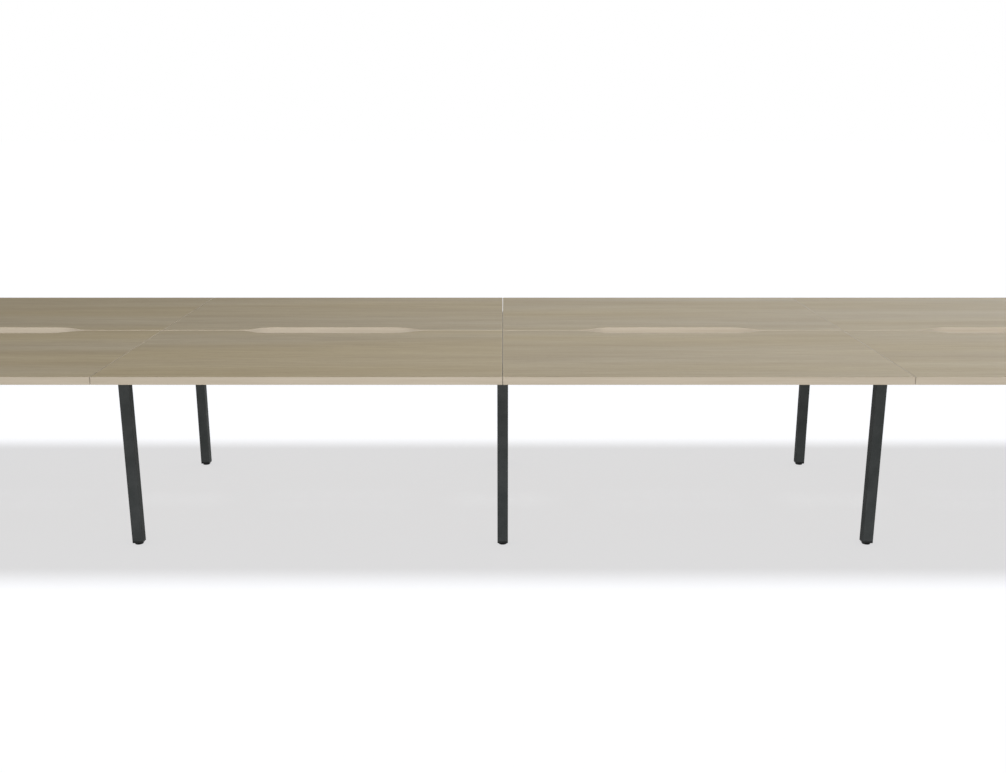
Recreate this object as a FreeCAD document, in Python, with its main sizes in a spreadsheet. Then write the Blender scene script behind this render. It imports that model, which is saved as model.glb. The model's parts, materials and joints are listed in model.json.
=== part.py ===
"""A row of four double desks: tops back to back on shared leg frames, with cable ports and trays."""
import FreeCAD, Part
import os
import re
import Sketcher

# Driving dimensions in millimetres, kept in the sheet
SIZES = (
    ("desk_height", 740),
    ("module_pitch", 1400),
    ("seam_gap", 1.5),
    ("row_gap", 10),
    ("top_depth", 800),
    ("top_thick", 28),
    ("band_thick", 2),
    ("band_round", 1),
    ("port_depth", 55),
    ("port_flat", 490),
    ("port_ramp", 160),
    ("tube_side", 40),
    ("tube_wall", 2),
    ("tube_round", 3),
    ("leg_line", 480),
    ("rail_reach", 580),
    ("end_inset", 10),
    ("cleat_tip", 605),
    ("cleat_width", 40),
    ("cleat_drop", 30),
    ("cleat_thick", 3),
    ("cleat_bend", 3),
    ("fix_across", 625),
    ("fix_inner", 150),
    ("fix_outer", 540),
    ("beam_line", 400),
    ("beam_width", 20),
    ("beam_round", 2),
    ("beam_fix", 450),
    ("plate_width", 80),
    ("plate_thick", 4),
    ("plate_round", 6),
    ("bolt_spread", 28),
    ("bolt_diameter", 8),
    ("bolt_hole", 8.4),
    ("bolt_head", 14),
    ("bolt_head_height", 4.4),
    ("bolt_length", 14),
    ("socket_radius", 2.9),
    ("socket_depth", 2.6),
    ("nut_radius", 7.5),
    ("nut_height", 6.5),
    ("thread_play", 0.05),
    ("screw_diameter", 4.8),
    ("screw_length", 17),
    ("screw_tip", 4),
    ("screw_point", 1.2),
    ("screw_head", 9.5),
    ("screw_head_height", 3),
    ("screw_hole", 5.4),
    ("pilot_diameter", 5),
    ("pilot_depth", 22),
    ("access_diameter", 12),
    ("cap_thick", 3),
    ("plug_flange", 8),
    ("plug_length", 20),
    ("plug_side", 35.6),
    ("plug_round", 2),
    ("plug_wall", 2),
    ("foot_clear", 8),
    ("pad_diameter", 32),
    ("pad_height", 4.8),
    ("pad_round", 1),
    ("pad_floor", 1.2),
    ("socket_height", 2.2),
    ("stud_diameter", 8),
    ("stud_head", 11),
    ("stud_head_height", 1.8),
    ("stud_play", 0.2),
    ("stud_length", 40),
    ("collar_radius", 7.5),
    ("collar_height", 2.7),
    ("tray_length", 1000),
    ("tray_width", 200),
    ("tray_wall", 70),
    ("tray_drop", 122),
    ("tray_sheet", 1.5),
    ("tray_bend", 2.5),
    ("lug_across", 430),
    ("lug_width", 40),
    ("lug_reach", 40),
    ("lug_hole", 122),
    ("slot_pitch", 120),
    ("slot_length", 60),
    ("slot_width", 8),
    ("slot_round", 3),
    ("slot_line", 50),
)

MODULES = 4
SLOTS = 7
ROWS = ("front", "back")
LEFT, RIGHT = 1, -1
CUT_MARGIN = 5
LEVEL = 0.01

# Lengths that follow from the sheet
UNDERSIDE = "(desk_height - top_thick)"
RAIL_CENTRE = "(desk_height - top_thick - tube_side / 2)"
LEG_BOTTOM = "(foot_clear + plug_flange)"
LEG_LENGTH = "(desk_height - top_thick - tube_side - foot_clear - plug_flange)"
HALF_DEPTH = "(row_gap / 2 + top_depth)"
PORT_RADIUS = "((port_ramp ^ 2 + port_depth ^ 2) / (4 * port_depth))"
MIDDLE_FACE = "(module_pitch / 2 - tube_side / 2)"
END_FACE = "(module_pitch / 2 - seam_gap / 2 - end_inset - tube_side)"
END_FRAME = "(module_pitch * %g - seam_gap / 2 - end_inset - tube_side / 2)" % (MODULES / 2)
END_REACH = "(row_gap / 2 + top_depth - end_inset)"
END_LEG = "(row_gap / 2 + top_depth - end_inset - tube_side / 2)"

ALONG_Y = FreeCAD.Rotation(FreeCAD.Vector(1, 0, 0), -90)
AGAINST_Y = FreeCAD.Rotation(FreeCAD.Vector(1, 0, 0), 90)
ALONG_X = FreeCAD.Rotation(FreeCAD.Vector(0, 1, 0), 90)
AGAINST_X = FreeCAD.Rotation(FreeCAD.Vector(0, 1, 0), -90)
HALF_TURN = FreeCAD.Rotation(FreeCAD.Vector(0, 0, 1), 180)
UPRIGHT = FreeCAD.Rotation()

doc = FreeCAD.newDocument("double_desk")
sheet = doc.addObject("Spreadsheet::Sheet", "Sizes")
for row, (alias, value) in enumerate(SIZES, start=1):
    sheet.set("A%d" % row, alias)
    sheet.set("B%d" % row, str(value))
    sheet.setAlias("B%d" % row, alias)
doc.recompute()

nodes = []


def cells(expression):
    """The expression with every size's name pointed at its cell."""
    return re.sub(r"[a-z][a-z_]*", lambda name: "Sizes." + name.group(0), expression)


def measure(expression):
    """What an expression comes to, in millimetres."""
    return float(sheet.evalExpression(cells(expression)))


def bind(thing, **sizes):
    """Binds properties to expressions on the sheet."""
    for name, expression in sizes.items():
        thing.setExpression(name, cells(expression))
    return thing


def place(thing, x="0", y="0", z="0", turn=UPRIGHT):
    """Turns an object and binds its place to the sheet."""
    thing.Placement = FreeCAD.Placement(FreeCAD.Vector(), turn)
    for axis, expression in (("x", x), ("y", y), ("z", z)):
        thing.setExpression("Placement.Base." + axis, cells(expression))
    return thing


def node(thing, label):
    """Lists an object as a sub-part under its own label."""
    thing.Label = label
    nodes.append(thing)
    return thing


def link(master, **where):
    """One more copy of a piece, at its own place."""
    copy = doc.addObject("App::Link", master.Name + "_copy")
    copy.LinkedObject = master
    return place(copy, **where)


def group(name, things):
    """Separate solids kept together as one object."""
    compound = doc.addObject("Part::Compound", name)
    compound.Links = things
    return compound


def cut(name, base, tools):
    """The base with every tool taken out of it."""
    result = doc.addObject("Part::Cut", name)
    result.Base = base
    result.Tool = group(name + "_holes", tools)
    return result


def cylinder(name, radius, height, **where):
    thing = doc.addObject("Part::Cylinder", name)
    return place(bind(thing, Radius=radius, Height=height), **where)


def prism(name, radius, height, **where):
    """A hexagonal bar of the given corner radius."""
    thing = doc.addObject("Part::Prism", name)
    thing.Polygon = 6
    return place(bind(thing, Circumradius=radius, Height=height), **where)


def fuse(name, shapes):
    thing = doc.addObject("Part::MultiFuse", name)
    thing.Shapes = shapes
    return thing


def new_body(name):
    return doc.addObject("PartDesign::Body", name)


def new_sketch(body, role="XY_Plane"):
    """An empty sketch on one of the body's own planes."""
    plane = next(feature for feature in body.Origin.OriginFeatures if feature.Role == role)
    sketch = body.newObject("Sketcher::SketchObject", body.Name + "_sketch")
    sketch.AttachmentSupport = [(plane, "")]
    sketch.MapMode = "FlatFace"
    return sketch


def pin(sketch, edge, end, x, y):
    """Holds one point of a sketch at expressions measured from the origin."""
    for kind, axis, expression in (("DistanceX", -2, x), ("DistanceY", -1, y)):
        if expression == "0":
            sketch.addConstraint(Sketcher.Constraint("PointOnObject", edge, end, axis))
            continue
        rule = Sketcher.Constraint(kind, -1, 1, edge, end, measure(expression))
        index = sketch.addConstraint(rule)
        sketch.setExpression("Constraints[%d]" % index, cells(expression))


def hold(sketch, kind, edge, expression):
    """Binds an arc's radius or a circle's diameter."""
    index = sketch.addConstraint(Sketcher.Constraint(kind, edge, measure(expression)))
    sketch.setExpression("Constraints[%d]" % index, cells(expression))


def arc_between(start, finish, radius, side):
    """The short arc from start to finish that bends to the given side."""
    chord = finish - start
    rise = max(radius ** 2 - chord.Length ** 2 / 4, 0) ** 0.5
    left = FreeCAD.Vector(-chord.y, chord.x, 0).normalize()
    centre = (start + finish) * 0.5 + left * (rise * side)
    ends = (start, finish) if side == LEFT else (finish, start)
    angles = [FreeCAD.Vector(1, 0, 0).getAngle(end - centre) for end in ends]
    signed = [-angle if (end - centre).y < 0 else angle for end, angle in zip(ends, angles)]
    return Part.ArcOfCircle(Part.Circle(centre, FreeCAD.Vector(0, 0, 1), radius), *signed)


def loop(sketch, corners):
    """A closed outline. A corner is (x, y), or (x, y, radius, side) where an arc leads on from it."""
    first = sketch.GeometryCount
    points = [FreeCAD.Vector(measure(corner[0]), measure(corner[1]), 0) for corner in corners]
    ends = []
    for index, corner in enumerate(corners):
        start, finish = points[index], points[(index + 1) % len(points)]
        if len(corner) == 2:
            sketch.addGeometry(Part.LineSegment(start, finish))
            ends.append((1, 2))
        else:
            sketch.addGeometry(arc_between(start, finish, measure(corner[2]), corner[3]))
            ends.append((1, 2) if corner[3] == LEFT else (2, 1))
    for index, corner in enumerate(corners):
        edge, after = first + index, (index + 1) % len(corners)
        rule = Sketcher.Constraint("Coincident", edge, ends[index][1], first + after, ends[after][0])
        sketch.addConstraint(rule)
        pin(sketch, edge, ends[index][0], corner[0], corner[1])
        if len(corner) > 2:
            hold(sketch, "Radius", edge, corner[2])


def rounded_rectangle(sketch, half_x, half_y, radius, x="0", y="0"):
    """A rectangle with round corners about a centre."""
    low_x, high_x = "%s - (%s)" % (x, half_x), "%s + (%s)" % (x, half_x)
    low_y, high_y = "%s - (%s)" % (y, half_y), "%s + (%s)" % (y, half_y)
    loop(sketch, (
        (low_x + " + " + radius, low_y),
        (high_x + " - " + radius, low_y, radius, LEFT),
        (high_x, low_y + " + " + radius),
        (high_x, high_y + " - " + radius, radius, LEFT),
        (high_x + " - " + radius, high_y),
        (low_x + " + " + radius, high_y, radius, LEFT),
        (low_x, high_y + " - " + radius),
        (low_x, low_y + " + " + radius, radius, LEFT),
    ))


def circles(sketch, centres, diameter):
    for x, y in centres:
        middle = FreeCAD.Vector(measure(x), measure(y), 0)
        up = FreeCAD.Vector(0, 0, 1)
        edge = sketch.addGeometry(Part.Circle(middle, up, measure(diameter) / 2))
        pin(sketch, edge, 3, x, y)
        hold(sketch, "Diameter", edge, diameter)


def pad(body, sketch, length):
    """Raises a sketch along its normal."""
    feature = body.newObject("PartDesign::Pad", body.Name + "_pad")
    feature.Profile = sketch
    bind(feature, Length=length)
    doc.recompute()
    return feature


def pocket(body, sketch, depth=None, both_ways=False):
    """Cuts a sketch along its normal, right through if no depth is given."""
    before = body.Shape.Volume
    feature = body.newObject("PartDesign::Pocket", body.Name + "_pocket")
    feature.Profile = sketch
    feature.Reversed = not both_ways
    feature.Midplane = both_ways
    if depth is None:
        feature.Type = "ThroughAll"
    else:
        bind(feature, Length=depth)
    doc.recompute()
    if body.Shape.Volume >= before:
        raise RuntimeError(body.Name + ": the pocket cut nothing")
    return feature


def revolve(body, sketch):
    """Turns a sketch once round its upright axis."""
    feature = body.newObject("PartDesign::Revolution", body.Name + "_turn")
    feature.Profile = sketch
    feature.ReferenceAxis = (sketch, ["V_Axis"])
    feature.Angle = 360
    doc.recompute()
    return feature


# Desktops: a board in a glued edge band, with a shallow cable port in the inner long edge
def top_outline(sketch, inset):
    """A top's outline seen from above, drawn in from its edge by the inset."""
    side = "(module_pitch / 2 - seam_gap / 2 - %s)" % inset
    front = "-(%s - %s)" % (HALF_DEPTH, inset)
    inner = "-(row_gap / 2 + %s)" % inset
    port = "-(row_gap / 2 + port_depth + %s)" % inset
    ramp_end = "(port_flat / 2 + port_ramp)"
    lip = "(%s - %s)" % (PORT_RADIUS, inset)
    hollow = "(%s + %s)" % (PORT_RADIUS, inset)
    turn_x = "(%s - %s * port_ramp / (2 * %s))" % (ramp_end, lip, PORT_RADIUS)
    turn_y = "(-row_gap / 2 - %s + %s * (1 - port_depth / (2 * %s)))" % (PORT_RADIUS, lip, PORT_RADIUS)
    loop(sketch, (
        ("-" + side, front),
        (side, front),
        (side, inner),
        (ramp_end, inner, lip, LEFT),
        (turn_x, turn_y, hollow, RIGHT),
        ("port_flat / 2", port),
        ("-port_flat / 2", port, hollow, RIGHT),
        ("-" + turn_x, turn_y, lip, LEFT),
        ("-" + ramp_end, inner),
        ("-" + side, inner),
    ))


def top_fixings():
    """Where screws enter a top from below: leg frame cleats, beam and cable tray."""
    cleats = [(x, y) for x in ("-fix_across", "fix_across") for y in ("-fix_inner", "-fix_outer")]
    beam = [(x, "-beam_line") for x in ("-beam_fix", "0", "beam_fix")]
    tray = [(x, "-lug_hole") for x in ("-lug_across", "lug_across")]
    return cleats, beam, tray


def desktop_board(name):
    body = new_body(name)
    outline = new_sketch(body)
    top_outline(outline, "band_thick")
    pad(body, outline, "top_thick")
    pilots = new_sketch(body)
    cleats, beam, tray = top_fixings()
    circles(pilots, cleats + beam + tray, "pilot_diameter")
    pocket(body, pilots, "pilot_depth")
    return body


def edge_band(name):
    body = new_body(name)
    outline = new_sketch(body)
    top_outline(outline, "0")
    slab = pad(body, outline, "top_thick")
    flat = ["Face%d" % number for number, face in enumerate(slab.Shape.Faces, start=1)
            if face.BoundBox.ZLength < LEVEL]
    rounding = body.newObject("PartDesign::Fillet", name + "_round")
    rounding.Base = (slab, flat)
    bind(rounding, Radius="band_round")
    doc.recompute()
    inside = new_sketch(body)
    top_outline(inside, "band_thick")
    pocket(body, inside)
    return body


def module_centre(number):
    return "module_pitch * %g" % (number - (MODULES - 1) / 2)


for row_name in ROWS:
    row_turn = UPRIGHT if row_name == "front" else HALF_TURN
    for number in range(MODULES):
        for kind, make in (("desktop", desktop_board), ("edge_band", edge_band)):
            label = "%s_%s_%d" % (kind, row_name, number + 1)
            piece = place(make(label), x=module_centre(number), z=UNDERSIDE, turn=row_turn)
            node(piece, label)


# Leg frames: square tube legs welded under a cross rail, with angle cleats that carry the tops
def tube(name, length, half_x, half_y, radius):
    """A tube along its own Z axis."""
    body = new_body(name)
    section = new_sketch(body)
    rounded_rectangle(section, half_x, half_y, radius)
    bore = "(%s - tube_wall)"
    rounded_rectangle(section, bore % half_x, bore % half_y, "(%s - tube_wall / 2)" % radius)
    pad(body, section, length)
    return body


def square_tube(name, length):
    return tube(name, length, "(tube_side / 2)", "(tube_side / 2)", "tube_round")


def cross_rail(name, reach, sides):
    """A rail along Y with bolt holes for the beams on one side or both."""
    length = "(2 * (%s - cap_thick))" % reach
    bar = place(square_tube(name + "_bar", length), y="-%s / 2" % length, turn=ALONG_Y)
    bores = []
    for line in ("-beam_line", "beam_line"):
        for spread in (" - bolt_spread", " + bolt_spread"):
            for side in sides:
                turn = ALONG_X if side == RIGHT else AGAINST_X
                bores.append(cylinder(name + "_bore", "bolt_hole / 2", "tube_side / 2 + %d" % CUT_MARGIN,
                                      y=line + spread, turn=turn))
    return cut(name, bar, bores)


def cleat(name, length, hole):
    """An angle bracket: one leg welded to the rail, the other under the top."""
    body = new_body(name)
    section = new_sketch(body, "XZ_Plane")
    loop(section, (
        ("0", "-cleat_drop"),
        ("cleat_thick", "-cleat_drop"),
        ("cleat_thick", "-cleat_thick - cleat_bend", "cleat_bend", RIGHT),
        ("cleat_thick + cleat_bend", "-cleat_thick"),
        (length, "-cleat_thick"),
        (length, "0"),
        ("0", "0"),
    ))
    pad(body, section, "cleat_width")
    fixing = new_sketch(body)
    circles(fixing, ((hole, "-cleat_width / 2"),), "screw_hole")
    pocket(body, fixing, "2 * cleat_thick", both_ways=True)
    return body


leg_tube = square_tube("leg_tube", LEG_LENGTH)
middle_rail = cross_rail("middle_rail", "rail_reach", (LEFT, RIGHT))
end_rail = cross_rail("end_rail", END_REACH, (RIGHT,))
middle_cleat = cleat("middle_cleat", "(%s - cleat_tip)" % MIDDLE_FACE, "(%s - fix_across)" % MIDDLE_FACE)
end_cleat = cleat("end_cleat", "(%s - cleat_tip)" % END_FACE, "(%s - fix_across)" % END_FACE)


def leg_frame(label, rail, cleats, leg_line, sides):
    """A rail on two legs, with cleats on the sides that meet a desk."""
    pieces = [link(rail, z=RAIL_CENTRE)]
    pieces += [link(leg_tube, y=line, z=LEG_BOTTOM) for line in ("-" + leg_line, leg_line)]
    for side in sides:
        for line in ("-fix_outer", "-fix_inner", "fix_inner", "fix_outer"):
            across = "tube_side / 2" if side == RIGHT else "-tube_side / 2"
            edge = " + cleat_width / 2" if side == RIGHT else " - cleat_width / 2"
            turn = UPRIGHT if side == RIGHT else HALF_TURN
            pieces.append(link(cleats, x=across, y=line + edge, z=UNDERSIDE, turn=turn))
    return node(group(label, pieces), label)


place(leg_frame("end_frame_left", end_rail, end_cleat, END_LEG, (RIGHT,)), x="-" + END_FRAME)
place(leg_frame("end_frame_right", end_rail, end_cleat, END_LEG, (RIGHT,)), x=END_FRAME, turn=HALF_TURN)
for number in range(1, MODULES):
    frame_label = "middle_frame_%d" % number
    frame = leg_frame(frame_label, middle_rail, middle_cleat, "leg_line", (LEFT, RIGHT))
    place(frame, x="module_pitch * %g" % (number - MODULES / 2))


# Beams: a tube under each top, with a bolted plate at both ends
plate = new_body("beam_plate")
plate_face = new_sketch(plate)
rounded_rectangle(plate_face, "(tube_side / 2)", "(plate_width / 2)", "plate_round")
circles(plate_face, (("0", "-bolt_spread"), ("0", "bolt_spread")), "bolt_hole")
pad(plate, plate_face, "plate_thick")


def beam_faces(number):
    """How far the beam runs to the left and right of its desk's centre."""
    left = END_FACE if number == 0 else MIDDLE_FACE
    right = END_FACE if number == MODULES - 1 else MIDDLE_FACE
    return left, right


def beam(label, number):
    left, right = beam_faces(number)
    length = "(%s + %s - 2 * plate_thick)" % (left, right)
    bar = tube(label + "_bar", length, "(tube_side / 2)", "(beam_width / 2)", "beam_round")
    place(bar, x="plate_thick - " + left, turn=ALONG_X)
    bores = []
    for across in ("-beam_fix", "0", "beam_fix"):
        bores.append(cylinder(label + "_hole", "screw_hole / 2", "tube_side", x=across))
        bores.append(cylinder(label + "_access", "access_diameter / 2", "tube_side",
                              x=across, z="-tube_side"))
    drilled = cut(label + "_drilled", bar, bores)
    plates = [link(plate, x="-" + left, turn=ALONG_X), link(plate, x=right, turn=AGAINST_X)]
    return group(label, [drilled] + plates)


for row_name in ROWS:
    line = "-beam_line" if row_name == "front" else "beam_line"
    for number in range(MODULES):
        label = "beam_%s_%d" % (row_name, number + 1)
        node(place(beam(label, number), x=module_centre(number), y=line, z=RAIL_CENTRE), label)


# Cable trays: one folded sheet each, hung from the tops by four lugs
def mirrored(corners):
    """A run of corners on the other side of the Y axis, walked back the other way."""
    arcs = [()] + [corner[2:] for corner in corners[:-1]]
    pairs = list(zip(corners, arcs))
    return tuple(("-(%s)" % corner[0], corner[1]) + arc for corner, arc in reversed(pairs))


def cable_tray(label):
    body = new_body(label)
    section = new_sketch(body, "YZ_Plane")
    half, outer = "tray_width / 2", "(tray_bend + tray_sheet)"
    rim = "(tray_drop - tray_sheet - tray_bend)"
    right_half = (
        (half + " - " + outer, "0", outer, LEFT),
        (half, outer),
        (half, rim, "tray_bend", RIGHT),
        (half + " + tray_bend", "tray_drop - tray_sheet"),
        (half + " + lug_reach", "tray_drop - tray_sheet"),
        (half + " + lug_reach", "tray_drop"),
        (half + " + tray_bend", "tray_drop", outer, LEFT),
        (half + " - tray_sheet", rim),
        (half + " - tray_sheet", outer, "tray_bend", RIGHT),
        (half + " - " + outer, "tray_sheet"),
    )
    loop(section, right_half + mirrored(right_half))
    pad(body, section, "tray_length")

    windows = new_sketch(body, "XZ_Plane")
    lug_edges = ["tray_length / 2 %s lug_across %s lug_width / 2" % signs
                 for signs in (("-", "-"), ("-", "+"), ("+", "-"), ("+", "+"))]
    starts = ["-%d" % CUT_MARGIN, lug_edges[1], lug_edges[3]]
    finishes = [lug_edges[0], lug_edges[2], "tray_length + %d" % CUT_MARGIN]
    for start, finish in zip(starts, finishes):
        high = "tray_drop + %d" % CUT_MARGIN
        loop(windows, ((start, "tray_wall"), (finish, "tray_wall"), (finish, high), (start, high)))
    pocket(body, windows, both_ways=True)

    fixings = new_sketch(body)
    lugs = [("tray_length / 2 %s lug_across" % x, "%slug_hole" % y) for x in "-+" for y in ("-", "")]
    circles(fixings, lugs, "screw_hole")
    pocket(body, fixings)

    first_slots = new_sketch(body)
    middle = "tray_length / 2 - slot_pitch * %g" % ((SLOTS - 1) / 2)
    for line in ("-slot_line", "slot_line"):
        rounded_rectangle(first_slots, "slot_length / 2", "slot_width / 2", "slot_round", middle, line)
    cut_slots = pocket(body, first_slots)
    slot_row = body.newObject("PartDesign::LinearPattern", label + "_slots")
    slot_row.Originals = [cut_slots]
    slot_row.Direction = (next(axis for axis in body.Origin.OriginFeatures if axis.Role == "X_Axis"), [""])
    slot_row.Occurrences = SLOTS
    bind(slot_row, Length="slot_pitch * %d" % (SLOTS - 1))
    body.Tip = slot_row
    doc.recompute()
    return body


for number in range(MODULES):
    label = "cable_tray_%d" % (number + 1)
    left_end = module_centre(number) + " - tray_length / 2"
    node(place(cable_tray(label), x=left_end, z=UNDERSIDE + " - tray_drop"), label)


# Fasteners: one master of each kind, copied to every place
bolt_shape = fuse("bolt_shape", [
    cylinder("bolt_head_round", "bolt_head / 2", "bolt_head_height"),
    cylinder("bolt_shank", "bolt_diameter / 2", "bolt_length", z="-bolt_length"),
])
bolt = cut("bolt", bolt_shape,
           [prism("bolt_socket", "socket_radius", "socket_depth", z="bolt_head_height - socket_depth")])
nut = cut("nut", prism("nut_hex", "nut_radius", "nut_height"),
          [cylinder("nut_bore", "bolt_diameter / 2 + thread_play", "nut_height")])
screw_tip_cone = doc.addObject("Part::Cone", "screw_tip_cone")
bind(screw_tip_cone, Radius1="screw_diameter / 2", Radius2="screw_point / 2", Height="screw_tip")
place(screw_tip_cone, z="screw_length")
screw = fuse("screw", [
    cylinder("screw_head_round", "screw_head / 2", "screw_head_height", z="-screw_head_height"),
    cylinder("screw_shank", "screw_diameter / 2", "screw_length"),
    screw_tip_cone,
])

bolts, nuts, screws = [], [], []
for number in range(MODULES):
    left, right = beam_faces(number)
    for line in ("-beam_line", "beam_line"):
        for spread in (" - bolt_spread", " + bolt_spread"):
            y = line + spread
            centre = module_centre(number)
            bolts.append(link(bolt, x="%s - %s + plate_thick" % (centre, left), y=y, z=RAIL_CENTRE,
                              turn=ALONG_X))
            bolts.append(link(bolt, x="%s + %s - plate_thick" % (centre, right), y=y, z=RAIL_CENTRE,
                              turn=AGAINST_X))
            nuts.append(link(nut, x="%s - %s - tube_wall - nut_height" % (centre, left), y=y, z=RAIL_CENTRE,
                             turn=ALONG_X))
            nuts.append(link(nut, x="%s + %s + tube_wall + nut_height" % (centre, right), y=y, z=RAIL_CENTRE,
                             turn=AGAINST_X))
    for facing in ("", "-"):
        for places, sheet_metal in zip(top_fixings(), ("cleat_thick", "tube_wall", "tray_sheet")):
            for x, y in places:
                screws.append(link(screw, x="%s + %s" % (module_centre(number), x), y="%s(%s)" % (facing, y),
                                   z="%s - %s" % (UNDERSIDE, sheet_metal)))
node(group("beam_bolts", bolts), "beam_bolts")
node(group("weld_nuts", nuts), "weld_nuts")
node(group("top_screws", screws), "top_screws")


# Plastic caps on the rail ends and threaded plugs in the leg ends
cap = new_body("rail_cap")
cap_face = new_sketch(cap)
rounded_rectangle(cap_face, "(tube_side / 2)", "(tube_side / 2)", "tube_round")
pad(cap, cap_face, "cap_thick")
cap_tongue = new_sketch(cap)
rounded_rectangle(cap_tongue, "(plug_side / 2)", "(plug_side / 2)", "plug_round")
cap_hollow = "(plug_side / 2 - plug_wall)"
rounded_rectangle(cap_tongue, cap_hollow, cap_hollow, "(plug_round / 2)")
pad(cap, cap_tongue, "cap_thick + plug_length")

plug = new_body("leg_plug")
plug_rim = new_sketch(plug)
rounded_rectangle(plug_rim, "(tube_side / 2)", "(tube_side / 2)", "tube_round")
pad(plug, plug_rim, "plug_flange")
plug_core = new_sketch(plug)
rounded_rectangle(plug_core, "(plug_side / 2)", "(plug_side / 2)", "plug_round")
pad(plug, plug_core, "plug_flange + plug_length")
plug_thread = new_sketch(plug)
circles(plug_thread, (("0", "0"),), "stud_diameter + 2 * thread_play")
pocket(plug, plug_thread)


# Levelling feet: a round pad that slides out as the stud in it is turned
def foot_pad(label):
    body = new_body(label)
    profile = new_sketch(body, "XZ_Plane")
    socket_top = "(pad_floor + socket_height)"
    neck = "stud_diameter / 2 + thread_play"
    bearing = "stud_head / 2 + thread_play"
    loop(profile, (
        ("0", "0"),
        ("pad_diameter / 2 - pad_round", "0", "pad_round", LEFT),
        ("pad_diameter / 2", "pad_round"),
        ("pad_diameter / 2", "pad_height - 2 * pad_round", "2 * pad_round", LEFT),
        ("pad_diameter / 2 - 2 * pad_round", "pad_height"),
        (neck, "pad_height"),
        (neck, socket_top),
        (bearing, socket_top),
        (bearing, "pad_floor"),
        ("0", "pad_floor"),
    ))
    revolve(body, profile)
    return body


def foot_stud(label):
    return fuse(label, [
        cylinder(label + "_head", "stud_head / 2", "stud_head_height", z="pad_floor + stud_play"),
        cylinder(label + "_rod", "stud_diameter / 2", "stud_length", z="pad_floor + stud_play"),
        prism(label + "_collar", "collar_radius", "collar_height", z="pad_height + stud_play"),
    ])


caps, plugs = [], []
legs = [("left", "-" + END_FRAME, END_LEG, END_REACH)]
legs += [("middle_%d" % number, "module_pitch * %g" % (number - MODULES / 2), "leg_line", "rail_reach")
         for number in range(1, MODULES)]
legs += [("right", END_FRAME, END_LEG, END_REACH)]
for frame_name, x, leg_line, reach in legs:
    for row_name, sign in zip(ROWS, ("-", "")):
        y = sign + leg_line
        outward = ALONG_Y if row_name == "front" else AGAINST_Y
        caps.append(link(cap, x=x, y=sign + reach, z=RAIL_CENTRE, turn=outward))
        plugs.append(link(plug, x=x, y=y, z="foot_clear"))
        for kind, make in (("foot_pad", foot_pad), ("foot_stud", foot_stud)):
            label = "%s_%s_%s" % (kind, frame_name, row_name)
            node(place(make(label), x=x, y=y), label)
node(group("rail_end_caps", caps), "rail_end_caps")
node(group("leg_plugs", plugs), "leg_plugs")


# Every object must have come out whole before anything is written
doc.recompute()
for thing in doc.Objects:
    if "Invalid" in thing.State or "Error" in thing.State:
        raise RuntimeError("%s did not compute" % thing.Label)
for thing in nodes:
    if thing.Shape.isNull() or not thing.Shape.isValid():
        raise RuntimeError("%s has no sound shape" % thing.Label)

os.makedirs("parts", exist_ok=True)
for thing in nodes:
    thing.Shape.exportStep("parts/%s.step" % thing.Label)
print("%d nodes written" % len(nodes))
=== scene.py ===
"""The looks of the row of double desks: finishes, edge bands, welds, fasteners, studio and camera."""
import json
import math

import bmesh
import bpy
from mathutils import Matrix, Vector


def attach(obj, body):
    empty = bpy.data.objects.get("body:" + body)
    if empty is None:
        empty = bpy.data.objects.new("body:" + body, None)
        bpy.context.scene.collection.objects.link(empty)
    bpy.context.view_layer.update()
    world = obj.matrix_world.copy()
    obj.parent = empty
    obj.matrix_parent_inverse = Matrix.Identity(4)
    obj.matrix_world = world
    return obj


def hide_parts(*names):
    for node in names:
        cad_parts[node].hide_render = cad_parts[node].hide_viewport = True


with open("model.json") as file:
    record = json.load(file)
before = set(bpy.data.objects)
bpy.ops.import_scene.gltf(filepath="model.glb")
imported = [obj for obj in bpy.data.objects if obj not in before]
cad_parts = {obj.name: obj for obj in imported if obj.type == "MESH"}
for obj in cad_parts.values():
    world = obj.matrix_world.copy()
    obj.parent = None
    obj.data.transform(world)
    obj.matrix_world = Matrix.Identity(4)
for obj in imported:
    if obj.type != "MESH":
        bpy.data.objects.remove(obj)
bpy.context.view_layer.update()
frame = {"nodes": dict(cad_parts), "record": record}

# Driving sizes in metres, as the solids have them
MM = 0.001
PITCH, SEAM_GAP, ROW_GAP = 1.4, 0.0015, 0.010
HEIGHT, TOP_DEPTH, TOP_THICK = 0.74, 0.8, 0.028
BAND_THICK, BAND_ROUND = 0.002, 0.001
PORT_DEPTH, PORT_FLAT, PORT_RAMP = 0.055, 0.49, 0.16
TUBE, TUBE_WALL, TUBE_ROUND, END_INSET = 0.04, 0.002, 0.003, 0.01
MIDDLE_LEG = 0.48
CLEAT_LINES, CLEAT_WIDTH, CLEAT_DROP, CLEAT_THICK = (0.15, 0.54), 0.04, 0.03, 0.003
FIX_ACROSS = 0.625
BEAM_LINE, BEAM_WIDTH, BEAM_FIX = 0.4, 0.02, 0.45
PLATE_THICK, BOLT_SPREAD = 0.004, 0.028
LUG_ACROSS, LUG_LINE, TRAY_SHEET = 0.43, 0.122, 0.0015
THREAD_FOOT, THREAD_PITCH, THREAD_TURNS = 8.6 * MM, 1.25 * MM, 25.0
THREAD_ROOT, THREAD_CREST = 3.4 * MM, 0.55 * MM
WELD_RADIUS, WELD_RIPPLE, WELD_SWELL = 2 * MM, 3 * MM, 0.1
# Along the rounded edge of a rail, a bead lies this far in and this far up
WELD_IN, WELD_UP = 1.2 * MM, 1 * MM
# Edges that bend by more than this stay crisp
SHARP_BEND = math.radians(32)

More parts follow.
